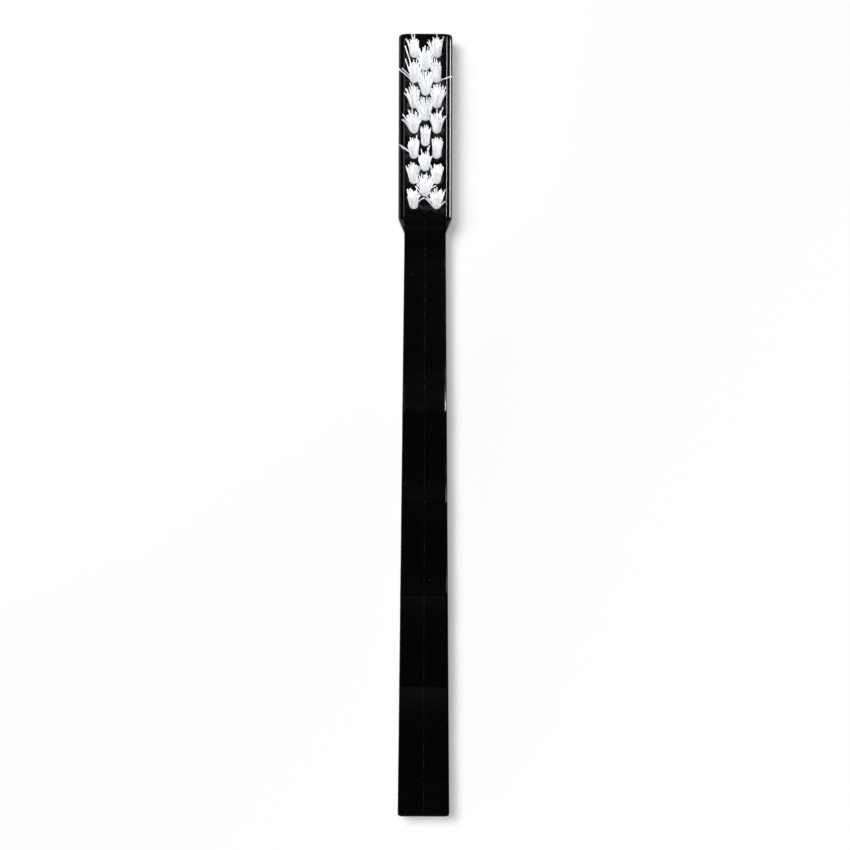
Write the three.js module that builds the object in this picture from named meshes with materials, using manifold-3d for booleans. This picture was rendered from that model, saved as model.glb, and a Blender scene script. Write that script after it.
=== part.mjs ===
// Utility brush: a moulded plastic handle whose head is drilled for staple-set tufts.
// Each tuft is a bundle of nylon strands, folded over a flat wire anchor at the bottom of its hole.
// Millimetres. +Y runs from the tail to the front end of the head, +Z is the bristle side,
// and the origin is the middle of the flat back.
import * as THREE from 'three';
import { mergeVertices } from 'three/addons/utils/BufferGeometryUtils.js';
import Module from 'manifold-3d';

const wasm = await Module();
wasm.setup();

// Head of the handle
const HEAD_LENGTH = 45;
const HEAD_WIDTH = 13.1;
const HEAD_THICKNESS = 9.5;
const HEAD_CORNER_RADIUS = 1.0;

// Neck: the sides taper in, the face ramps down, and a long flat leads to the grip
const NECK_TAPER_LENGTH = 3.3;
const NECK_RAMP_LENGTH = 1.9;
const NECK_FOOT_DROP = 0.8;
const NECK_FOOT_RADIUS = 43;
const NECK_LENGTH = 43.6;
const NECK_WIDTH = 10.15;
const NECK_THICKNESS = 7.7;

// Grip: shallow finger scallops between crests, then a short flat tail
const GRIP_COUNT = 4;
const GRIP_PITCH = 22.25;
const GRIP_DEPTH = 0.6;
const GRIP_RISE = 0.8;
const TAIL_LENGTH = 9.6;
const TAIL_WIDTH = 12.65;
const TAIL_CORNER_RADIUS = 0.8;

// Edges of the moulding: on the face a narrow bevel and a round to the side,
// finer on the grip than on the head
const FACE_EDGE_WIDTH = 1.37;
const FACE_EDGE_RADIUS = 0.97;
const FACE_EDGE_SLOPE_DEG = 22;
const GRIP_EDGE_SHARE = 0.36;
const BACK_EDGE_RADIUS = 0.6;
const END_EDGE_RADIUS = 0.5;

// Tuft pattern: pairs of tufts, with one tuft on the centre line between each two pairs
const TUFT_FRONT_MARGIN = 4.85;
const TUFT_REAR_MARGIN = 3;
const TUFT_PITCH = 6.12;
const TUFT_OFFSET = 2.76;

// Tuft holes, as left by a pointed drill
const HOLE_RADIUS = 1.1;
const HOLE_DEPTH = 6;
const DRILL_POINT_DEG = 118;
const DRILL_OVERRUN = 1;

// Tufts
const TUFT_CLEARANCE = 0.05;
const TUFT_RECESS = 0.3;
const BRISTLE_LENGTH = 11;
const BRISTLE_UNEVENNESS = 0.7;
const STRAND_THICKNESS = 0.26;
const STRAND_RINGS = 2;
const STRAND_ROOT = 0.4;
const TUFT_GAP = 0.6;
const TUFT_LEAN = 0.3;

// Anchors: short lengths of flat wire
const ANCHOR_THICKNESS = 0.35;
const ANCHOR_HEIGHT = 1.6;
const ANCHOR_BITE = 0.25;
const ANCHOR_CHAMFER = 0.3;
const ANCHOR_FOLD = 0.9;
const ANCHOR_CLEARANCE = 0.05;

// Fineness of the facets
const EDGE_DIVISIONS = 3;
const END_STEPS = 4;
const RAMP_STEPS = 2;
const ARC_STEPS = 8;
const ROUND_SIDES = 12;
const STATION_GAP = 0.005;
const MERGE_TOLERANCE = 1e-5;

// A repeatable row of numbers for the lean of the tufts and the lengths of their strands
const ROW_FACTOR = 1664525;
const ROW_STEP = 1013904223;
const ROW_RANGE = 4294967296;

const blackPlastic = new THREE.MeshStandardMaterial({ color: 0x0c0d0d, roughness: 0.28, metalness: 0 });
const whiteNylon = new THREE.MeshStandardMaterial({ color: 0xf2f2f4, roughness: 0.5, metalness: 0 });
const brassWire = new THREE.MeshStandardMaterial({ color: 0xb08d4a, roughness: 0.35, metalness: 1 });

// Places along the handle, measured back from the front end of the head
const taperEnd = HEAD_LENGTH + NECK_TAPER_LENGTH;
const rampEnd = HEAD_LENGTH + NECK_RAMP_LENGTH;
const firstCrest = taperEnd + NECK_LENGTH;
const lastCrest = firstCrest + GRIP_COUNT * GRIP_PITCH;
const overallLength = lastCrest + TAIL_LENGTH;
const frontY = overallLength / 2;

// The scallops and the rise to the first crest share one radius
const gripRadius = GRIP_PITCH ** 2 / (8 * GRIP_DEPTH) + GRIP_DEPTH / 2;
const crestThickness = NECK_THICKNESS + GRIP_RISE;
const rampFoot = NECK_THICKNESS + NECK_FOOT_DROP;
const footLength = Math.sqrt(NECK_FOOT_RADIUS ** 2 - (NECK_FOOT_RADIUS - NECK_FOOT_DROP) ** 2);
const riseLength = Math.sqrt(gripRadius ** 2 - (gripRadius - GRIP_RISE) ** 2);

// How far an arc of this radius has left its tangent at this distance from the point of contact
function arcDrop(radius, distance) {
  return radius - Math.sqrt(Math.max(0, radius ** 2 - distance ** 2));
}

// Thickness of the handle at a distance from the front end
function thicknessAt(s) {
  if (s <= HEAD_LENGTH) return HEAD_THICKNESS;
  if (s <= rampEnd) {
    return THREE.MathUtils.mapLinear(s, HEAD_LENGTH, rampEnd, HEAD_THICKNESS, rampFoot);
  }
  if (s <= rampEnd + footLength) return NECK_THICKNESS + arcDrop(NECK_FOOT_RADIUS, rampEnd + footLength - s);
  if (s <= firstCrest - riseLength) return NECK_THICKNESS;
  if (s <= firstCrest) return NECK_THICKNESS + arcDrop(gripRadius, s - firstCrest + riseLength);
  if (s >= lastCrest) return crestThickness;
  const middle = firstCrest + (Math.floor((s - firstCrest) / GRIP_PITCH) + 0.5) * GRIP_PITCH;
  return crestThickness - GRIP_DEPTH + arcDrop(gripRadius, s - middle);
}

// Half the width of the handle at a distance from the front end, before its corners are rounded
function halfWidthAt(s) {
  if (s <= HEAD_LENGTH) return HEAD_WIDTH / 2;
  if (s <= taperEnd) return THREE.MathUtils.mapLinear(s, HEAD_LENGTH, taperEnd, HEAD_WIDTH, NECK_WIDTH) / 2;
  return THREE.MathUtils.mapLinear(s, taperEnd, overallLength, NECK_WIDTH, TAIL_WIDTH) / 2;
}

// Size of the edges on the bristle side against those of the head, which get finer through the neck
function edgeShareAt(s) {
  return THREE.MathUtils.lerp(1, GRIP_EDGE_SHARE, THREE.MathUtils.smoothstep(s, HEAD_LENGTH, taperEnd));
}

// How far a rounded corner of this radius draws the outline in at this distance from the end
function cornerInset(radius, distance) {
  return arcDrop(radius, Math.max(0, radius - distance));
}

// Distances from an end at which a rounded corner is cut into even steps
function cornerStations(radius) {
  const turn = Math.PI / 2 / END_STEPS;
  return Array.from({ length: END_STEPS }, (_, i) => radius * (1 - Math.cos((i + 1) * turn)));
}

// Evenly spaced stations after the start, up to and with the end
function stationsTo(start, end, steps) {
  return Array.from({ length: steps }, (_, i) => start + ((end - start) * (i + 1)) / steps);
}

// Every station of the loft, from the front end to the tail
function handleStations() {
  const stations = [0, ...cornerStations(END_EDGE_RADIUS), ...cornerStations(HEAD_CORNER_RADIUS)];
  stations.push(HEAD_LENGTH, ...stationsTo(HEAD_LENGTH, rampEnd, RAMP_STEPS));
  stations.push(...stationsTo(rampEnd, taperEnd, RAMP_STEPS));
  stations.push(...stationsTo(rampEnd, rampEnd + footLength, ARC_STEPS));
  stations.push(...stationsTo(firstCrest - riseLength, firstCrest, ARC_STEPS), firstCrest - riseLength);
  for (let i = 0; i < GRIP_COUNT; i++) {
    const crest = firstCrest + i * GRIP_PITCH;
    stations.push(...stationsTo(crest, crest + GRIP_PITCH, ARC_STEPS));
  }
  stations.push(overallLength);
  for (const radius of [END_EDGE_RADIUS, TAIL_CORNER_RADIUS]) {
    stations.push(...cornerStations(radius).map((d) => overallLength - d));
  }
  stations.sort((a, b) => a - b);
  return stations.filter((s, i) => i === 0 || s - stations[i - 1] > STATION_GAP);
}

// One cross-section of the handle, as points round its rounded back and its bevelled face
function handleSection(s) {
  const fromTail = overallLength - s;
  const corners = cornerInset(HEAD_CORNER_RADIUS, s) + cornerInset(TAIL_CORNER_RADIUS, fromTail);
  const inset = cornerInset(END_EDGE_RADIUS, s) + cornerInset(END_EDGE_RADIUS, fromTail);
  const half = halfWidthAt(s) - corners;
  const top = thicknessAt(s) - inset;
  const slope = THREE.MathUtils.degToRad(FACE_EDGE_SLOPE_DEG);
  const edge = FACE_EDGE_RADIUS * edgeShareAt(s);
  const crease = half - FACE_EDGE_WIDTH * edgeShareAt(s);
  const bevelWidth = half - edge + edge * Math.sin(slope) - crease;
  const edgeZ = top - bevelWidth * Math.tan(slope) - edge * Math.cos(slope);
  const back = BACK_EDGE_RADIUS;
  const section = new THREE.Shape();
  section.absarc(-half + back, inset + back, back, Math.PI, 1.5 * Math.PI);
  section.absarc(half - back, inset + back, back, 1.5 * Math.PI, 2 * Math.PI);
  section.absarc(half - edge, edgeZ, edge, 0, 0.5 * Math.PI - slope);
  section.lineTo(crease, top);
  section.lineTo(-crease, top);
  section.absarc(-half + edge, edgeZ, edge, 0.5 * Math.PI + slope, Math.PI);
  return section.getPoints(EDGE_DIVISIONS).map((p) => new THREE.Vector3(p.x, frontY - s, p.y));
}

// A closed skin over sections that all have the same number of points, with a fan over each end
function loft(sections) {
  const count = sections[0].length;
  const points = sections.flat();
  const index = [];
  for (let ring = 0; ring + 1 < sections.length; ring++) {
    for (let i = 0; i < count; i++) {
      const a = ring * count + i;
      const b = ring * count + ((i + 1) % count);
      index.push(a, b, a + count, b, b + count, a + count);
    }
  }
  const last = (sections.length - 1) * count;
  for (let i = 1; i + 1 < count; i++) {
    index.push(0, i + 1, i, last, last + i, last + i + 1);
  }
  return new THREE.BufferGeometry().setFromPoints(points).setIndex(index);
}

// A three.js geometry as a solid that can be joined and cut
function solid(geometry) {
  const bare = geometry.clone();
  bare.deleteAttribute('normal');
  bare.deleteAttribute('uv');
  const merged = mergeVertices(bare, MERGE_TOLERANCE);
  return new wasm.Manifold(
    new wasm.Mesh({
      numProp: 3,
      vertProperties: merged.attributes.position.array,
      triVerts: new Uint32Array(merged.index.array),
    }),
  );
}

// A joined and cut solid as a three.js geometry
function geometryOf(body) {
  const mesh = body.getMesh();
  const geometry = new THREE.BufferGeometry();
  geometry.setAttribute('position', new THREE.BufferAttribute(mesh.vertProperties, 3));
  geometry.setIndex(new THREE.BufferAttribute(mesh.triVerts, 1));
  geometry.computeVertexNormals();
  return geometry;
}

// A pointed round bar hanging down from z = top, such as a drilled hole or what fills it.
// Flats of its facets face along X, where the ends of the anchor cross them.
function pointedBar(radius, depth, top) {
  const pointHeight = radius / Math.tan(THREE.MathUtils.degToRad(DRILL_POINT_DEG / 2));
  const profile = [
    new THREE.Vector2(0, -depth - pointHeight),
    new THREE.Vector2(radius, -depth),
    new THREE.Vector2(radius, top),
    new THREE.Vector2(0, top),
  ];
  return new THREE.LatheGeometry(profile, ROUND_SIDES, Math.PI / ROUND_SIDES).rotateX(Math.PI / 2);
}

// The flat wire of an anchor, standing on edge across its tuft, with chamfered lower corners.
// Room is added all round for the slot and the notches that it sits in.
function anchorWire(room) {
  const half = HOLE_RADIUS + ANCHOR_BITE + room;
  const chamfer = ANCHOR_CHAMFER;
  const outline = new THREE.Shape();
  outline.moveTo(-half + chamfer, -room);
  outline.lineTo(half - chamfer, -room);
  outline.lineTo(half, chamfer - room);
  outline.lineTo(half, ANCHOR_HEIGHT + room);
  outline.lineTo(-half, ANCHOR_HEIGHT + room);
  outline.lineTo(-half, chamfer - room);
  outline.closePath();
  const depth = ANCHOR_THICKNESS + 2 * room;
  const wire = new THREE.ExtrudeGeometry(outline, { depth, bevelEnabled: false });
  return wire.translate(0, 0, -depth / 2).rotateX(Math.PI / 2);
}

// Heights below the face of the head
const anchorFoot = -HOLE_DEPTH + ANCHOR_FOLD;

// Places of the tufts on the face of the head, row by row from the front end
function tuftPlaces() {
  const room = HEAD_LENGTH - TUFT_FRONT_MARGIN - TUFT_REAR_MARGIN;
  const rows = 1 + Math.floor(room / TUFT_PITCH);
  const places = [];
  for (let row = 0; row < rows; row++) {
    const y = frontY - TUFT_FRONT_MARGIN - row * TUFT_PITCH;
    places.push({ name: `left_${row + 1}`, x: -TUFT_OFFSET, y });
    places.push({ name: `right_${row + 1}`, x: TUFT_OFFSET, y });
    if (row + 1 < rows) places.push({ name: `centre_${row + 1}`, x: 0, y: y - TUFT_PITCH / 2 });
  }
  return places;
}

// Repeatable pseudo-random numbers from 0 to 1
function randomFrom(seed) {
  let state = seed;
  return () => {
    state = (state * ROW_FACTOR + ROW_STEP) % ROW_RANGE;
    return state / ROW_RANGE;
  };
}

// The tips fan out until they all but meet those of the nearest tuft
const nearestTuft = Math.hypot(TUFT_OFFSET, TUFT_PITCH / 2);
const tipReach = nearestTuft / 2 - TUFT_GAP / 2;
const rootRadius = HOLE_RADIUS - TUFT_CLEARANCE;
const strandCorner = STRAND_THICKNESS * Math.SQRT1_2;
const outerRing = rootRadius * Math.cos(Math.PI / ROUND_SIDES) - STRAND_THICKNESS;
const strandFoot = -TUFT_RECESS - STRAND_ROOT;

// One straight strand with a square section, from its root to its tip
function strand(base, tip) {
  const rise = tip.z - base.z;
  const shear = new THREE.Matrix4().set(
    1, 0, (tip.x - base.x) / rise, base.x,
    0, 1, (tip.y - base.y) / rise, base.y,
    0, 0, 1, base.z,
    0, 0, 0, 1,
  );
  const bar = new THREE.BoxGeometry(STRAND_THICKNESS, STRAND_THICKNESS, rise);
  return bar.translate(0, 0, rise / 2).applyMatrix4(shear);
}

// A tuft, with the mouth of its hole at the origin: the folded root with a slot for the anchor,
// and rings of strands that fan out from it without crossing
function tuftGeometry(seed) {
  const random = randomFrom(seed);
  let body = solid(pointedBar(rootRadius, HOLE_DEPTH - TUFT_CLEARANCE, -TUFT_RECESS));
  const slot = anchorWire(ANCHOR_CLEARANCE).translate(0, 0, anchorFoot);
  body = body.subtract(solid(slot));
  const leanAngle = 2 * Math.PI * random();
  const lean = TUFT_LEAN * random();
  const fan = (tipReach - lean - strandCorner) / outerRing;
  for (let ring = 0; ring <= STRAND_RINGS; ring++) {
    const count = ring === 0 ? 1 : 6 * ring;
    const radius = (outerRing * ring) / STRAND_RINGS;
    for (let i = 0; i < count; i++) {
      const angle = (2 * Math.PI * (i + ring / 2)) / count;
      const base = new THREE.Vector3(radius * Math.cos(angle), radius * Math.sin(angle), strandFoot);
      const tip = new THREE.Vector3(
        base.x * fan + lean * Math.cos(leanAngle),
        base.y * fan + lean * Math.sin(leanAngle),
        BRISTLE_LENGTH - BRISTLE_UNEVENNESS * random(),
      );
      body = body.add(solid(strand(base, tip)));
    }
  }
  return geometryOf(body);
}

// The handle, drilled for the tufts and notched where the anchors bite into the holes
function handleGeometry(places) {
  let body = solid(loft(handleStations().map(handleSection)));
  const drill = solid(pointedBar(HOLE_RADIUS, HOLE_DEPTH, DRILL_OVERRUN));
  const notch = solid(anchorWire(ANCHOR_CLEARANCE).translate(0, 0, anchorFoot));
  const tool = drill.add(notch);
  for (const place of places) {
    body = body.subtract(tool.translate([place.x, place.y, HEAD_THICKNESS]));
  }
  return geometryOf(body);
}

function namedMesh(name, geometry, material) {
  const mesh = new THREE.Mesh(geometry, material);
  mesh.name = name;
  return mesh;
}

const brush = new THREE.Group();
brush.name = 'utility_brush';
const places = tuftPlaces();
brush.add(namedMesh('handle', handleGeometry(places), blackPlastic));

places.forEach((place, i) => {
  const station = new THREE.Group();
  station.position.set(place.x, place.y, HEAD_THICKNESS);
  station.add(namedMesh(`tuft_${place.name}`, tuftGeometry(i + 1), whiteNylon));
  const anchor = namedMesh(`anchor_${place.name}`, anchorWire(0), brassWire);
  anchor.position.z = anchorFoot;
  station.add(anchor);
  brush.add(station);
});

export default brush;
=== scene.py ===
# A utility brush lying on its back: a black moulded handle, and white nylon tufts folded over
# brass anchors.
import math
import random
from collections import namedtuple

import bmesh
import bpy
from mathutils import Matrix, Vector


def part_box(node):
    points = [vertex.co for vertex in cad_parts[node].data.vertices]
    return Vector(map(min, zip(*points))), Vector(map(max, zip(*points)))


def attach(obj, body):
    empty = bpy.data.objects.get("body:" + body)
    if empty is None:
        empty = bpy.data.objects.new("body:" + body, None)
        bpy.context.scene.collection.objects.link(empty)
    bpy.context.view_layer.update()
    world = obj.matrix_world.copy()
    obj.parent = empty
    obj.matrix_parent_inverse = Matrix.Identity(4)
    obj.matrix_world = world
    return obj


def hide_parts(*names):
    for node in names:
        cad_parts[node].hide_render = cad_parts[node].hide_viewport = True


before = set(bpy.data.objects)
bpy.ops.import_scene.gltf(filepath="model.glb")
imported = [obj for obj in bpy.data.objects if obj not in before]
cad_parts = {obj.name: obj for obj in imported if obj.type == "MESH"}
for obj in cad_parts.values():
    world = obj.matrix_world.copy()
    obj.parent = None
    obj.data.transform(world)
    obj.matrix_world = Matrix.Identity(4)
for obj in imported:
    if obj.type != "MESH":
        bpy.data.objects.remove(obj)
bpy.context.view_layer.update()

MM = 0.001

# Sizes of the moulding, in metres, on the frame's own box
HANDLE_LOW, HANDLE_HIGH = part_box("handle")
LENGTH = HANDLE_HIGH.y - HANDLE_LOW.y
FACE_Z = HANDLE_HIGH.z
HEAD_LENGTH = 45 * MM
HEAD_HALF = HANDLE_HIGH.x
NECK_TAPER = 3.3 * MM
NECK_RAMP = 1.9 * MM
NECK_FOOT_DROP = 0.8 * MM
NECK_FOOT_RADIUS = 43 * MM
NECK_LENGTH = 43.6 * MM
NECK_HALF = 5.075 * MM
NECK_Z = 7.7 * MM
GRIP_COUNT = 4
GRIP_PITCH = 22.25 * MM
GRIP_DEPTH = 0.6 * MM
GRIP_RISE = 0.8 * MM
TAIL_HALF = 6.325 * MM
HEAD_CORNER = 1 * MM
TAIL_CORNER = 0.8 * MM
END_EDGE = 0.5 * MM

# Edges of the face: a narrow bevel with a soft crease, then a round to the side.
# Those of the grip are finer.
EDGE_WIDTH = 1.37 * MM
EDGE_ROUND = 0.97 * MM
EDGE_CREASE = 0.5 * MM
EDGE_SLOPE = math.radians(22)
GRIP_EDGE_SHARE = 0.36
BACK_ROUND = 0.6 * MM
BLEND = 0.35 * MM
HOLD = 0.06 * MM

# The parting line: a hair of flash along the middle of the face, scraped to a scored line on the back
SEAM_HALF = 0.07 * MM
SEAM_RISE = 0.01 * MM
SEAM_SCORE = 0.02 * MM

# Holes, anchors and strands
HOLE_RADIUS = 1.1 * MM
HOLE_DEPTH = 6 * MM
HOLE_POINT = 0.66 * MM
HOLE_FLARE = 0.12 * MM
ANCHOR_ROOM = 0.05 * MM
STRAND_RADIUS = 0.132 * MM
STRAND_PITCH = 0.245 * MM
STRAND_RINGS = 4
STRAND_SIDES = 6
STRAND_LENGTH = 11 * MM
STRAND_UNEVEN = 0.7 * MM
FREE_STEPS = (1.0, 0.62, 0.28, 0.0)
FOLD_STEPS = 3

# How each tuft stands, in millimetres: the lean of its tips to the right and to the front,
# how far they fan out across the brush, and where the tips of its stray strands are from the middle
# of its hole. Along the brush they fan out less.
FAN_ALONG = 0.68
Habit = namedtuple("Habit", "lean fan strays")
TUFT_HABITS = {
    "left_1": Habit((0.0, 0.5), 1.3, [(-0.6, 2.6), (0.1, 2.4), (-1.9, 1.2), (-1.5, 0.9)]),
    "right_1": Habit((-0.1, 0.55), 1.5, [(-0.1, 2.7), (1.5, 1.7), (-2.3, 0.4), (-1.9, -0.2), (-2.0, 0.9)]),
    "centre_1": Habit((-0.15, 0.85), 2.3, [(-0.1, 2.6), (-0.4, 2.2), (1.6, -0.7), (1.2, -1.0)]),
    "left_2": Habit((0.3, 1.05), 2.0, [(-2.1, 6.0), (-2.0, 2.6), (-2.7, 0.3), (-3.7, 0.8, 8.0), (1.7, 1.6),
                                        (2.2, 1.0), (2.4, 0.2)]),
    "right_2": Habit((-0.3, 1.2), 1.6, [(3.4, -0.9, 7.0), (-1.6, -0.6), (-0.2, 2.6)]),
    "centre_2": Habit((-0.1, 1.4), 2.3, [(1.9, 1.9)]),
    "left_3": Habit((-0.35, 1.2), 1.85, [(-2.2, 0.5), (-1.9, 1.6), (-0.9, 3.0), (-0.3, 3.4)]),
    "right_3": Habit((0.1, 1.4), 2.05, [(2.2, 0.9), (1.9, 1.8), (-1.8, 1.2)]),
    "centre_3": Habit((-0.4, 1.55), 2.4, [(-1.9, 2.2), (0.9, 2.6)]),
    "left_4": Habit((-0.1, 1.1), 2.25, [(-2.8, 0.4), (-2.6, 1.7), (-1.3, 2.7), (-0.4, 3.2), (2.3, 1.1)]),
    "right_4": Habit((0.0, 1.1), 2.0, [(1.4, 3.4), (2.1, 1.3), (0.0, 2.9), (-2.0, 1.0)]),
    "centre_4": Habit((-0.1, 1.05), 1.3, [(0.3, 2.2)]),
    "left_5": Habit((-0.15, 1.2), 1.6, [(-3.3, 0.6), (-2.8, 0.0)]),
    "right_5": Habit((0.0, 1.35), 1.35, []),
    "centre_5": Habit((0.05, 0.75), 1.75, [(1.0, 3.5), (-1.0, 2.6), (0.6, 3.0)]),
    "left_6": Habit((-0.2, 1.4), 1.75, [(1.7, 1.6)]),
    "right_6": Habit((0.1, 1.0), 1.6, [(-1.5, 1.9)]),
    "centre_6": Habit((0.0, 1.35), 2.35, [(2.5, 0.1), (-2.3, -0.1), (-2.0, 0.4)]),
    "left_7": Habit((-0.05, 1.4), 1.65, [(2.5, 0.3), (2.0, 0.1), (1.6, 0.9), (0.9, 3.0)]),
    "right_7": Habit((-0.2, 1.15), 2.1, [(1.9, -0.6), (0.0, 2.7), (-2.7, 0.1), (-2.4, 0.6), (-2.3, -0.2)]),
}

# The photograph: its side in pixels, where the brush begins and ends in it, and how it was framed
PHOTO_SIDE = 850
PHOTO_TOP = 34.75
PHOTO_BOTTOM = 816.35
PHOTO_AXIS = 424.55
PHOTO_TURN = math.radians(0.16)
CAMERA_HEIGHT = 450 * MM

# The studio, as a unit dome: the levels of its walls by their height, those of its ceiling from the tail
# to the front and half its width, and how much more or less of that there is on the left and the right
WALL_LEVELS = ((0.0, 0.6), (0.42, 0.5), (0.58, 0.0), (1.0, 0.0))
CEILING_LEVELS = ((-1.0, 0.025), (-0.6, 0.03), (-0.4, 0.12), (-0.34, 0.1), (-0.3, 0.075), (-0.26, 0.035),
                  (-0.22, 0.018), (-0.12, 0.009), (0.0, 0.01), (0.07, 0.012), (0.12, 0.04), (0.2, 0.035),
                  (0.3, 0.05), (1.0, 0.03))
CEILING_HALF = 0.45
WALL_LEFT = 1.7
WALL_RIGHT = 0.25

# The floor: its paper, a little warm, and the level and blue tint of its glow beside the brush. In the
# light they add up to white. In the shadow only the glow is left, and its tint paints the shadow bluish.
FLOOR_PAPER = (0.99, 0.97, 0.945, 1)
FLOOR_GLOW = 0.365
FLOOR_SHADOW_TINT = (0.965, 1.0, 1.045, 1)

# The cards that edges mirror, in metres
GLEAM_HEIGHT = 0.1
GLEAM_DISTANCE = 0.5


def arc_drop(radius, distance):
    """How far an arc has left its tangent at a distance from the point of contact."""
    return radius - math.sqrt(max(0.0, radius * radius - distance * distance))


def ramp(value, start, end, first, last):
    """A straight change from first to last between two places, level outside them."""
    share = min(1.0, max(0.0, (value - start) / (end - start)))
    return first + (last - first) * share


GRIP_RADIUS = GRIP_PITCH**2 / (8 * GRIP_DEPTH) + GRIP_DEPTH / 2
RAMP_END = HEAD_LENGTH + NECK_RAMP
TAPER_END = HEAD_LENGTH + NECK_TAPER
FOOT_LENGTH = math.sqrt(NECK_FOOT_RADIUS**2 - (NECK_FOOT_RADIUS - NECK_FOOT_DROP) ** 2)
RISE_LENGTH = math.sqrt(GRIP_RADIUS**2 - (GRIP_RADIUS - GRIP_RISE) ** 2)
FIRST_CREST = TAPER_END + NECK_LENGTH
LAST_CREST = FIRST_CREST + GRIP_COUNT * GRIP_PITCH
HEAD_MIDDLE = Vector((0, HANDLE_HIGH.y - HEAD_LENGTH / 2, FACE_Z))


def raw_thickness(s):
    """Thickness of the handle at a distance from its front end, with sharp breaks."""
    if s <= RAMP_END:
        return ramp(s, HEAD_LENGTH, RAMP_END, FACE_Z, NECK_Z + NECK_FOOT_DROP)
    if s <= RAMP_END + FOOT_LENGTH:
        return NECK_Z + arc_drop(NECK_FOOT_RADIUS, RAMP_END + FOOT_LENGTH - s)
    if s <= FIRST_CREST - RISE_LENGTH:
        return NECK_Z
    if s <= FIRST_CREST:
        return NECK_Z + arc_drop(GRIP_RADIUS, s - FIRST_CREST + RISE_LENGTH)
    if s >= LAST_CREST:
        return NECK_Z + GRIP_RISE
    middle = FIRST_CREST + (int((s - FIRST_CREST) / GRIP_PITCH) + 0.5) * GRIP_PITCH
    return NECK_Z + GRIP_RISE - GRIP_DEPTH + arc_drop(GRIP_RADIUS, s - middle)


def raw_half_width(s):
    """Half the width of the handle at a distance from its front end, with sharp breaks."""
    if s <= TAPER_END:
        return ramp(s, HEAD_LENGTH, TAPER_END, HEAD_HALF, NECK_HALF)
    return ramp(s, TAPER_END, LENGTH, NECK_HALF, TAIL_HALF)


def crest_edge(number):
    """Where a crest of the grip, counted from the head, meets the right side."""
    s = FIRST_CREST + (number - 1) * GRIP_PITCH
    return Vector((raw_half_width(s), HANDLE_HIGH.y - s, NECK_Z + GRIP_RISE))


def softened(profile, s):
    """A profile with its breaks blended, as the mean over a short stretch."""
    steps = (-1.0, -0.6, -0.2, 0.2, 0.6, 1.0)
    places = [min(LENGTH, max(0.0, s + BLEND * step)) for step in steps]
    return sum(profile(place) for place in places) / len(steps)


def corner_inset(radius, distance):
    """How far a rounded corner draws an outline in, at a distance from the end of the handle."""
    return arc_drop(radius, max(0.0, radius - distance))


def arc_points(x, z, radius, start, end, steps):
    """Points on an arc about (x, z). Angles run from straight up towards the right."""
    turns = [start + (end - start) * i / steps for i in range(steps + 1)]
    return [(x + radius * math.sin(turn), z + radius * math.cos(turn)) for turn in turns]


def half_section(half, top, bottom, edge):
    """Right half of a cross-section, from the parting line on the face to the one on the back."""
    crease_x = half - EDGE_WIDTH * edge
    crease = EDGE_CREASE * edge
    outer = EDGE_ROUND * edge
    round_x = half - outer
    bevel_end = round_x + outer * math.sin(EDGE_SLOPE)
    round_z = top - math.tan(EDGE_SLOPE) * (bevel_end - crease_x) - outer * math.cos(EDGE_SLOPE)
    crease_start = crease_x - crease * math.tan(EDGE_SLOPE / 2)
    points = [(0.0, top + SEAM_RISE), (SEAM_HALF, top), (SEAM_HALF + HOLD, top), (crease_start - HOLD, top)]
    points += arc_points(crease_start, top - crease, crease, 0.0, EDGE_SLOPE, 3)
    points += arc_points(round_x, round_z, outer, EDGE_SLOPE, math.pi / 2, 6)
    points += [(half, round_z - HOLD), (half, bottom + BACK_ROUND + HOLD)]
    points += arc_points(half - BACK_ROUND, bottom + BACK_ROUND, BACK_ROUND, math.pi / 2, math.pi, 6)
    points += [(half - BACK_ROUND - HOLD, bottom), (SEAM_HALF + HOLD, bottom), (SEAM_HALF, bottom)]
    points += [(0.0, bottom + SEAM_SCORE)]
    return points


def handle_section(s):
    """One cross-section of the handle, as a closed ring of points."""
    from_tail = LENGTH - s
    corners = corner_inset(HEAD_CORNER, s) + corner_inset(TAIL_CORNER, from_tail)
    inset = corner_inset(END_EDGE, s) + corner_inset(END_EDGE, from_tail)
    half = softened(raw_half_width, s) - corners
    top = softened(raw_thickness, s) - inset
    edge = ramp(s, HEAD_LENGTH, TAPER_END, 1.0, GRIP_EDGE_SHARE)
    right = half_section(half, top, inset, edge)
    left = [(-x, z) for x, z in reversed(right[1:-1])]
    y = HANDLE_HIGH.y - s
    return [Vector((x, y, z)) for x, z in right + left]


def handle_stations():
    """Distances from the front end at which the handle is cut: close together where it turns quickly."""
    turns = [math.pi / 2 * i / 6 for i in range(7)]
    near_end = [radius * (1 - math.cos(turn)) for radius in (END_EDGE, HEAD_CORNER) for turn in turns]
    stations = near_end + [LENGTH - distance for distance in near_end]
    stations += [LENGTH * i / 190 for i in range(191)]
    breaks = [HEAD_LENGTH, RAMP_END, TAPER_END]
    breaks += [FIRST_CREST + i * GRIP_PITCH for i in range(GRIP_COUNT + 1)]
    for place in breaks:
        stations += [place + BLEND * i / 4 for i in range(-6, 7)]
    kept = []
    for s in sorted(stations):
        if not kept or s - kept[-1] > HOLD / 2:
            kept.append(s)
    kept[-1] = LENGTH
    return kept


def finished(name, bm, material, home):
    """A bmesh as an object in a collection, with its normals outward."""
    bmesh.ops.recalc_face_normals(bm, faces=bm.faces)
    mesh = bpy.data.meshes.new(name)
    bm.to_mesh(mesh)
    bm.free()
    piece = bpy.data.objects.new(name, mesh)
    home.objects.link(piece)
    mesh.materials.append(material)
    return piece


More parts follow.
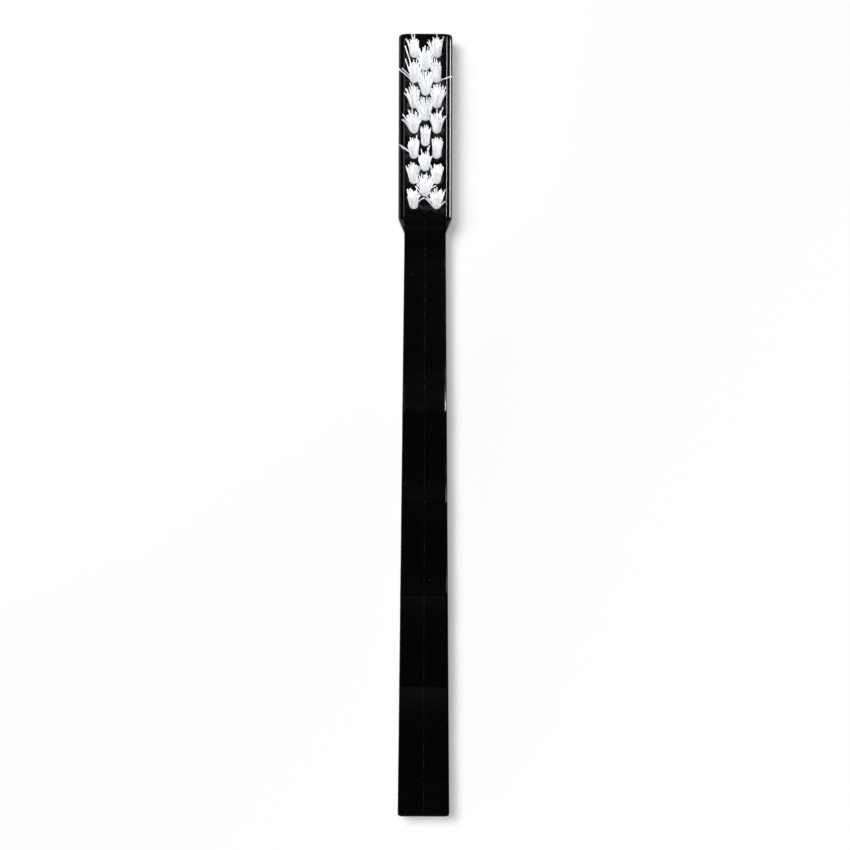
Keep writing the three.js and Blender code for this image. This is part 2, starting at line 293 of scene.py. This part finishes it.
def handle_blank(material):
    """The moulding before it is drilled: a sheet rolled round the cross-sections, closed at both ends."""
    sections = [handle_section(s) for s in handle_stations()]
    columns = len(sections[0])
    rows = len(sections) - 1
    bm = bmesh.new()
    bmesh.ops.create_grid(bm, x_segments=columns, y_segments=rows, size=0.5)
    for vert in bm.verts:
        column = round((vert.co.x + 0.5) * columns) % columns
        row = round((vert.co.y + 0.5) * rows)
        vert.co = sections[row][column]
    bmesh.ops.remove_doubles(bm, verts=bm.verts, dist=HOLD / 100)
    open_edges = [edge for edge in bm.edges if edge.is_boundary]
    ends = bmesh.ops.holes_fill(bm, edges=open_edges, sides=0)["faces"]
    bmesh.ops.inset_individual(bm, faces=ends, thickness=HOLD)
    return finished("handle_moulding", bm, material, brush)


def hole_places():
    """Middle of each tuft's hole, at the face, from the anchor at the bottom of it."""
    places = {}
    for name in TUFT_HABITS:
        low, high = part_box("anchor_" + name)
        places[name] = Vector(((low.x + high.x) / 2, (low.y + high.y) / 2, FACE_Z))
    return places


def drill(material):
    """What is cut out of the head: pointed holes with a flared mouth, and notches for the anchors."""
    bm = bmesh.new()
    for name, place in hole_places().items():
        outline = [(0, -HOLE_DEPTH - HOLE_POINT), (HOLE_RADIUS, -HOLE_DEPTH), (HOLE_RADIUS, -HOLE_FLARE)]
        outline += [(HOLE_RADIUS + 3 * HOLE_FLARE, 2 * HOLE_FLARE), (0, 2 * HOLE_FLARE)]
        verts = [bm.verts.new(place + Vector((x, 0, z))) for x, z in outline]
        edges = [bm.edges.new(pair) for pair in zip(verts, verts[1:])]
        bmesh.ops.spin(
            bm, geom=verts + edges, cent=place, axis=(0, 0, 1), angle=math.tau, steps=32, use_merge=True
        )
    bmesh.ops.remove_doubles(bm, verts=bm.verts, dist=HOLD / 100)
    return finished("drill", bm, material, brush)


def notches(material):
    """Slots that the anchors cut into the walls of the holes."""
    bm = bmesh.new()
    for name in TUFT_HABITS:
        low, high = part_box("anchor_" + name)
        size = high - low + Vector((1, 1, 1)) * 2 * ANCHOR_ROOM
        made = bmesh.ops.create_cube(bm, size=1)
        bmesh.ops.scale(bm, vec=size, verts=made["verts"])
        bmesh.ops.translate(bm, vec=(low + high) / 2, verts=made["verts"])
    return finished("notches", bm, material, brush)


def cut(piece, *cutters):
    """Cuts pieces out of another and throws the cutters away."""
    for cutter in cutters:
        modifier = piece.modifiers.new("cut", "BOOLEAN")
        modifier.operation = "DIFFERENCE"
        modifier.solver = "EXACT"
        modifier.object = cutter
    seen = piece.evaluated_get(bpy.context.evaluated_depsgraph_get())
    whole = bpy.data.meshes.new_from_object(seen)
    piece.modifiers.clear()
    blank = piece.data
    piece.data = whole
    whole.name = piece.name
    bpy.data.meshes.remove(blank)
    for cutter in cutters:
        bpy.data.meshes.remove(cutter.data)


def smooth(piece, sharp_degrees):
    """Smooth shading, with edges sharper than an angle kept."""
    piece.data.shade_smooth()
    piece.data.set_sharp_from_angle(angle=math.radians(sharp_degrees))


def make_handle(material):
    handle = handle_blank(material)
    cut(handle, drill(material), notches(material))
    smooth(handle, 35)
    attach(handle, "root")
    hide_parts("handle")


def mouth_places():
    """Where strands come out on the front half of a hole, closely packed. Each comes back out behind it."""
    places = []
    for column in range(-STRAND_RINGS, STRAND_RINGS + 1):
        count = 2 * STRAND_RINGS + 1 - abs(column)
        for i in range(count):
            y = (i - (count - 1) / 2) * STRAND_PITCH
            if y > STRAND_PITCH / 4:
                places.append(Vector((column * STRAND_PITCH * math.sqrt(3) / 2, y, 0)))
    return places


def straight_strand():
    """A straight strand of unit steps, to be bent along its path."""
    steps = 2 * len(FREE_STEPS) + FOLD_STEPS
    bm = bmesh.new()
    made = bmesh.ops.create_circle(bm, cap_ends=True, segments=STRAND_SIDES, radius=STRAND_RADIUS)
    end = made["verts"][0].link_faces[0]
    for _ in range(steps):
        grown = bmesh.ops.extrude_face_region(bm, geom=[end])["geom"]
        verts = [item for item in grown if isinstance(item, bmesh.types.BMVert)]
        end = next(item for item in grown if isinstance(item, bmesh.types.BMFace))
        bmesh.ops.translate(bm, vec=(0, 0, 1), verts=verts)
    bmesh.ops.recalc_face_normals(bm, faces=bm.faces)
    mesh = bpy.data.meshes.new("straight_strand")
    bm.to_mesh(mesh)
    bm.free()
    return mesh


def free_end(base, tip):
    """The free part of a strand, from its tip to the mouth of the hole, bending outwards as it rises."""
    rise = tip - base
    points = []
    for height in FREE_STEPS:
        aside = height * (0.7 + 0.3 * height)
        points.append(base + Vector((rise.x * aside, rise.y * aside, rise.z * height)))
    return points


def fold(base, anchor_z):
    """The fold of a strand under its anchor, from the front of the wire to the back."""
    leg = 0.4 * MM + (base.y - STRAND_PITCH / 2) * 0.6
    points = []
    for i in range(FOLD_STEPS + 1):
        turn = math.pi * i / FOLD_STEPS
        points.append(Vector((base.x * 0.9, leg * math.cos(turn), anchor_z - leg * math.sin(turn))))
    return points


def bent(bm, strand, path, tone):
    """Adds a copy of the straight strand to a bmesh, bent along a path and with its own tone."""
    first = len(bm.verts)
    bm.from_mesh(strand)
    bm.verts.ensure_lookup_table()
    side = Vector((1, 0, 0))
    frames = []
    for i, point in enumerate(path):
        along = (path[min(i + 1, len(path) - 1)] - path[max(i - 1, 0)]).normalized()
        side = (side - along * side.dot(along)).normalized()
        frames.append((point, side, along.cross(side)))
    for vert in bm.verts[first:]:
        point, side, across = frames[round(vert.co.z)]
        vert.co = point + side * vert.co.x + across * vert.co.y
        vert[bm.verts.layers.float["tone"]] = tone


def strand_tips(bases, habit, draw):
    """Where the tips of a tuft stand, above the middle of its hole, strays included."""
    outermost = max(base.length for base in bases)
    tips = []
    for base in bases:
        reach = habit.fan * MM / outermost * draw.uniform(0.74, 1.1)
        jitter = Vector((draw.gauss(0, 0.15), draw.gauss(0, 0.3), 0)) * MM
        tip = Vector((base.x, base.y * FAN_ALONG, 0)) * reach + Vector((*habit.lean, 0)) * MM + jitter
        tip.z = STRAND_LENGTH - STRAND_UNEVEN * draw.random()
        tips.append(tip)
    free = set(range(len(bases)))
    for x, y, *height in habit.strays:
        stray = Vector((x, y, 0)) * MM
        nearest = max(free, key=lambda i: bases[i].dot(stray))
        free.discard(nearest)
        stray.z = height[0] * MM if height else math.sqrt(STRAND_LENGTH**2 - stray.length_squared)
        tips[nearest] = stray
    return tips


def make_tuft(name, place, strand, material, draw):
    front = mouth_places()
    back = [Vector((base.x, -base.y, 0)) for base in front]
    tips = strand_tips(front + back, TUFT_HABITS[name], draw)
    anchor_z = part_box("anchor_" + name)[0].z - FACE_Z
    bm = bmesh.new()
    bm.verts.layers.float.new("tone")
    for i, base in enumerate(front):
        rising = free_end(base, tips[i])
        falling = free_end(back[i], tips[len(front) + i])
        path = rising + fold(base, anchor_z) + falling[::-1]
        bent(bm, strand, path, draw.random())
    bmesh.ops.translate(bm, vec=place, verts=bm.verts)
    tuft = finished("strands_" + name, bm, material, bristles)
    smooth(tuft, 50)
    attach(tuft, "root")
    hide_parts("tuft_" + name)


def plain_material(name):
    """A new material, with its nodes and its main shader."""
    material = bpy.data.materials.new(name)
    material.use_nodes = True
    return material, material.node_tree, material.node_tree.nodes["Principled BSDF"]


def add_node(tree, kind, inputs, **settings):
    """A node with its inputs set to values or joined to the outputs of other nodes."""
    node = tree.nodes.new(kind)
    for name, value in settings.items():
        setattr(node, name, value)
    for name, value in inputs.items():
        if isinstance(value, bpy.types.NodeSocket):
            tree.links.new(value, node.inputs[name])
        else:
            node.inputs[name].default_value = value
    return node


def sum_of(tree, operation, first, second):
    """The output of a sum of two values."""
    return add_node(tree, "ShaderNodeMath", {0: first, 1: second}, operation=operation).outputs[0]


def noise(tree, place, stretch, detail):
    """Soft noise, with its number of grains in a metre along each axis."""
    spread = add_node(tree, "ShaderNodeVectorMath", {0: place, 1: stretch}, operation="MULTIPLY")
    settings = {"Vector": spread.outputs[0], "Scale": 1, "Detail": detail}
    return add_node(tree, "ShaderNodeTexNoise", settings).outputs[0]


def from_to(tree, value, start, end, first, last):
    """A value carried from one range to another."""
    ends = {"Value": value, "From Min": start, "From Max": end, "To Min": first, "To Max": last}
    return add_node(tree, "ShaderNodeMapRange", ends).outputs[0]


def blend(tree, share, first, second):
    """A colour between two others."""
    mix = add_node(tree, "ShaderNodeMix", {0: share, 6: first, 7: second}, data_type="RGBA")
    return mix.outputs[2]


def black_plastic():
    """Glossy black moulding: mottling, lengthwise scratches, dust on it, and grey flecks along its parting
    line.
    """
    material, tree, shader = plain_material("black_plastic")
    place = add_node(tree, "ShaderNodeTexCoord", {}).outputs["Object"]
    mottle = noise(tree, place, (350, 350, 350), 4)
    streaks = noise(tree, place, (7000, 60, 7000), 2)
    peel = noise(tree, place, (2600, 2600, 2600), 2)
    scratched = from_to(tree, streaks, 0.62, 0.7, 0.0, 0.04)
    roughness = sum_of(tree, "ADD", from_to(tree, mottle, 0.35, 0.65, 0.09, 0.13), scratched)
    tree.links.new(roughness, shader.inputs["Roughness"])

    cells = add_node(tree, "ShaderNodeTexVoronoi", {"Vector": place, "Scale": 650})
    chance = add_node(tree, "ShaderNodeSeparateColor", {0: cells.outputs["Color"]}).outputs[0]
    near = sum_of(tree, "LESS_THAN", cells.outputs["Distance"], 0.05)
    speck = sum_of(tree, "MULTIPLY", near, sum_of(tree, "GREATER_THAN", chance, 0.9))
    across = add_node(tree, "ShaderNodeSeparateXYZ", {0: place}).outputs["X"]
    off_seam = add_node(tree, "ShaderNodeMath", {0: across}, operation="ABSOLUTE").outputs[0]
    # Grey flecks along the parting line, broken up by noise.
    flecks = from_to(tree, noise(tree, place, (900, 900, 900), 2), 0.4, 0.65, 0.1, 1.0)
    seam = sum_of(tree, "MULTIPLY", sum_of(tree, "LESS_THAN", off_seam, SEAM_HALF), flecks)
    dust = from_to(tree, noise(tree, place, (3600, 3600, 3600), 1), 0.5, 0.75, 0.0, 1.0)
    plastic = blend(tree, dust, (0.0008, 0.0008, 0.0009, 1), (0.005, 0.005, 0.005, 1))
    plastic = blend(tree, seam, plastic, (0.022, 0.022, 0.023, 1))
    tree.links.new(blend(tree, speck, plastic, (0.16, 0.16, 0.17, 1)), shader.inputs["Base Color"])

    height = sum_of(tree, "ADD", peel, from_to(tree, streaks, 0.62, 0.7, 0.0, -0.6))
    bump = add_node(tree, "ShaderNodeBump", {"Height": height, "Strength": 0.12, "Distance": 0.012 * MM})
    tree.links.new(bump.outputs[0], shader.inputs["Normal"])
    return material


def white_nylon():
    """White nylon strands, each a little different in tone, the darker ones partly painted shade between
    strands, and greyer down among the roots as painted shade.
    """
    material, tree, shader = plain_material("white_nylon")
    place = add_node(tree, "ShaderNodeTexCoord", {}).outputs["Object"]
    own_tone = add_node(tree, "ShaderNodeAttribute", {}, attribute_name="tone").outputs["Fac"]
    # Each strand gets a random tone from dark bluish grey to white. The dark end is partly painted shade
    # between strands.
    grain = from_to(tree, noise(tree, place, (2600, 2600, 900), 2), 0.35, 0.65, -0.25, 0.25)
    strand_tone_and_shade = from_to(tree, sum_of(tree, "ADD", own_tone, grain), 0.0, 0.7, 0.0, 1.0)
    up = add_node(tree, "ShaderNodeSeparateXYZ", {0: place}).outputs["Z"]
    # Painted shade: the strands turn bluish grey over their lowest 3 mm above the face.
    clear_of_painted_root_shade = from_to(tree, up, FACE_Z, FACE_Z + 3 * MM, 0.0, 1.0)
    strands = blend(tree, strand_tone_and_shade, (0.6, 0.625, 0.68, 1), (0.98, 0.98, 0.985, 1))
    tree.links.new(blend(tree, clear_of_painted_root_shade, (0.8, 0.83, 0.9, 1), strands), shader.inputs["Base Color"])
    tree.links.new(from_to(tree, strand_tone_and_shade, 0.0, 1.0, 0.6, 0.48), shader.inputs["Roughness"])
    shader.inputs["Specular IOR Level"].default_value = 0.3
    shader.inputs["Subsurface Weight"].default_value = 0.5
    shader.inputs["Subsurface Radius"].default_value = (1, 1, 1)
    shader.inputs["Subsurface Scale"].default_value = 1 * MM
    return material


def brass_wire():
    """Drawn brass wire: fine lines along its length."""
    material, tree, shader = plain_material("brass_wire")
    place = add_node(tree, "ShaderNodeTexCoord", {}).outputs["Object"]
    lines = noise(tree, place, (600, 9000, 9000), 2)
    tint = blend(tree, lines, (0.62, 0.43, 0.17, 1), (0.76, 0.58, 0.29, 1))
    tree.links.new(tint, shader.inputs["Base Color"])
    tree.links.new(from_to(tree, lines, 0.3, 0.7, 0.24, 0.44), shader.inputs["Roughness"])
    shader.inputs["Metallic"].default_value = 1
    return material


def pale_floor(key):
    """White paper, which takes the shadow of the brush.

    It has a glow that is only seen or mirrored, and that grows where the key light fades.
    """
    material, tree, shader = plain_material("pale_floor")
    tree.nodes.remove(shader)
    path = add_node(tree, "ShaderNodeLightPath", {})
    seen = sum_of(tree, "MAXIMUM", path.outputs["Is Camera Ray"], path.outputs["Is Glossy Ray"])
    seen = sum_of(tree, "MAXIMUM", seen, path.outputs["Is Transmission Ray"])
    place = add_node(tree, "ShaderNodeTexCoord", {}).outputs["Object"]
    away = add_node(tree, "ShaderNodeVectorMath", {0: place, 1: key.location}, operation="DISTANCE")
    near_key = sum_of(tree, "POWER", away.outputs["Value"], -4.0)
    level = sum_of(tree, "MULTIPLY", seen, from_to(tree, near_key, 0.0, 1.0, 1.0, FLOOR_GLOW))
    # The glow's blue tint near the brush paints the shadow bluish.
    tint = blend(tree, near_key, (1, 1, 1, 1), FLOOR_SHADOW_TINT)
    glow = add_node(tree, "ShaderNodeEmission", {"Color": tint, "Strength": level})
    paper = add_node(tree, "ShaderNodeBsdfDiffuse", {"Color": FLOOR_PAPER})
    both = add_node(tree, "ShaderNodeAddShader", {0: paper.outputs[0], 1: glow.outputs[0]})
    tree.links.new(both.outputs[0], tree.nodes["Material Output"].inputs["Surface"])
    return material


def make_floor(key):
    bm = bmesh.new()
    bmesh.ops.create_grid(bm, x_segments=1, y_segments=1, size=3)
    bmesh.ops.translate(bm, vec=(0, 0, HANDLE_LOW.z - 0.02 * MM), verts=bm.verts)
    floor = finished("floor", bm, pale_floor(key), bpy.context.scene.collection)


def levels_along(tree, value, levels):
    """A level that changes with a value, through pairs of a value and its level."""
    start, end = levels[0][0], levels[-1][0]
    curve = add_node(tree, "ShaderNodeFloatCurve", {1: from_to(tree, value, start, end, 0.0, 1.0)})
    points = curve.mapping.curves[0].points
    for place, level in levels[1:-1]:
        points.new((place - start) / (end - start), level)
    points[0].location.y = levels[0][1]
    points[-1].location.y = levels[-1][1]
    for point in points:
        point.handle_type = "VECTOR"
    curve.mapping.update()
    return curve.outputs[0]


def make_world():
    """Studio walls: paler towards the horizon and on the left, dark overhead where the camera is."""
    world = bpy.data.worlds.new("studio")
    bpy.context.scene.world = world
    world.use_nodes = True
    tree = world.node_tree
    where = add_node(tree, "ShaderNodeTexCoord", {}).outputs["Generated"]
    split = add_node(tree, "ShaderNodeSeparateXYZ", {0: where})
    walls = levels_along(tree, split.outputs["Z"], WALL_LEVELS)
    aside = add_node(tree, "ShaderNodeMath", {0: split.outputs["X"]}, operation="ABSOLUTE").outputs[0]
    overhead = from_to(tree, aside, CEILING_HALF, CEILING_HALF + 0.2, 1.0, 0.1)
    ceiling = sum_of(tree, "MULTIPLY", overhead, levels_along(tree, split.outputs["Y"], CEILING_LEVELS))
    lean = from_to(tree, split.outputs["X"], -1, 1, WALL_LEFT, WALL_RIGHT)
    path = add_node(tree, "ShaderNodeLightPath", {})
    seen = path.outputs["Is Camera Ray"]
    mirrored = sum_of(tree, "SUBTRACT", 1.0, path.outputs["Is Diffuse Ray"])
    studio = sum_of(tree, "MULTIPLY", sum_of(tree, "MAXIMUM", walls, ceiling), lean)
    level = sum_of(tree, "MAXIMUM", sum_of(tree, "MULTIPLY", studio, mirrored), seen)
    tree.nodes["Background"].inputs["Color"].default_value = (1, 1, 1, 1)
    tree.links.new(level, tree.nodes["Background"].inputs["Strength"])


def make_lamp(name, tilt, bearing, width, height, level, aim=Vector(), distance=1.0):
    """A soft box that faces a place, the middle of the back unless it is given.

    Tilt is from overhead, bearing from the front to the right. At a level of 1 a white surface that
    faces it looks white.
    """
    light = bpy.data.lights.new(name, "AREA")
    light.shape = "RECTANGLE"
    light.size = width
    light.size_y = height
    light.energy = level * (math.pi * distance) ** 2
    lamp = bpy.data.objects.new(name, light)
    tilt = math.radians(tilt)
    bearing = math.radians(bearing)
    way = Vector((math.sin(tilt) * math.sin(bearing), math.sin(tilt) * math.cos(bearing), math.cos(tilt)))
    lamp.location = aim + way * distance
    lamp.rotation_mode = "QUATERNION"
    lamp.rotation_quaternion = way.to_track_quat("Z", "Y")
    bpy.context.scene.collection.objects.link(lamp)
    return lamp


def make_fill(name, tilt, bearing, level):
    """A soft light for the strands alone, which casts no shadow and doesn't show in gloss."""
    lamp = make_lamp(name, tilt, bearing, 0.5, 0.5, level)
    lamp.data.use_shadow = False
    lamp.visible_glossy = False
    lamp.light_linking.receiver_collection = bristles


def make_gleam(name, tilt, bearing, width, grid, level, aim):
    """A small card that only gloss shows. Its grid, in degrees, keeps its light to about one place."""
    card = make_lamp(name, tilt, bearing, width, GLEAM_HEIGHT, level, aim, GLEAM_DISTANCE)
    card.visible_camera = False
    card.visible_diffuse = False
    half_spread = math.radians(grid)
    card.data.spread = 2 * half_spread
    card.data.energy *= 1 - half_spread / math.tan(half_spread)


def make_camera():
    """Straight above the middle of the brush, set so that it fills the frame as in the photograph."""
    pixel = LENGTH / (PHOTO_BOTTOM - PHOTO_TOP)
    lens = bpy.data.cameras.new("camera")
    lens.sensor_width = 36
    lens.lens = lens.sensor_width * CAMERA_HEIGHT / (PHOTO_SIDE * pixel)
    lens.clip_start = 10 * MM
    camera = bpy.data.objects.new("camera", lens)
    aside = (PHOTO_SIDE / 2 - PHOTO_AXIS) * pixel
    along = ((PHOTO_TOP + PHOTO_BOTTOM) / 2 - PHOTO_SIDE / 2) * pixel
    camera.location = (aside, along, NECK_Z + CAMERA_HEIGHT)
    camera.rotation_euler = (0, 0, PHOTO_TURN)
    bpy.context.scene.collection.objects.link(camera)
    bpy.context.scene.camera = camera


bpy.context.scene.view_settings.view_transform = "Standard"
brush = bpy.data.collections.new("brush")
bristles = bpy.data.collections.new("bristles")
bpy.context.scene.collection.children.link(brush)
brush.children.link(bristles)
make_camera()
make_world()
key_light = make_lamp("key_light", 19, -46, 0.36, 0.36, 0.68)
key_light.visible_glossy = False
make_fill("tail_fill", 72, 180, 0.6)
make_fill("right_fill", 72, 100, 0.2)
make_fill("left_fill", 72, -100, 0.2)
make_gleam("crease_gleam", 23, 64, 0.11, 10, 0.9, HEAD_MIDDLE)
make_gleam("edge_gleam", 61, 79.5, 0.11, 10, 0.8, HEAD_MIDDLE)
make_gleam("left_gleam", 23, -67, 0.11, 10, 0.17, HEAD_MIDDLE)
make_gleam("first_crest_gleam", 46, 73, 0.016, 4.2, 0.13, crest_edge(1))
make_gleam("second_crest_gleam", 46, 79, 0.024, 4.2, 0.04, crest_edge(2))
make_gleam("third_crest_gleam", 46, 84, 0.024, 4.2, 0.015, crest_edge(3))
make_floor(key_light)

make_handle(black_plastic())
nylon = white_nylon()
strand = straight_strand()
draw = random.Random(7)
for tuft_name, tuft_place in hole_places().items():
    make_tuft(tuft_name, tuft_place, strand, nylon, draw)
bpy.data.meshes.remove(strand)

brass = brass_wire()
for node_name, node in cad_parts.items():
    if node_name.startswith("anchor_"):
        node.data.materials.clear()
        node.data.materials.append(brass)
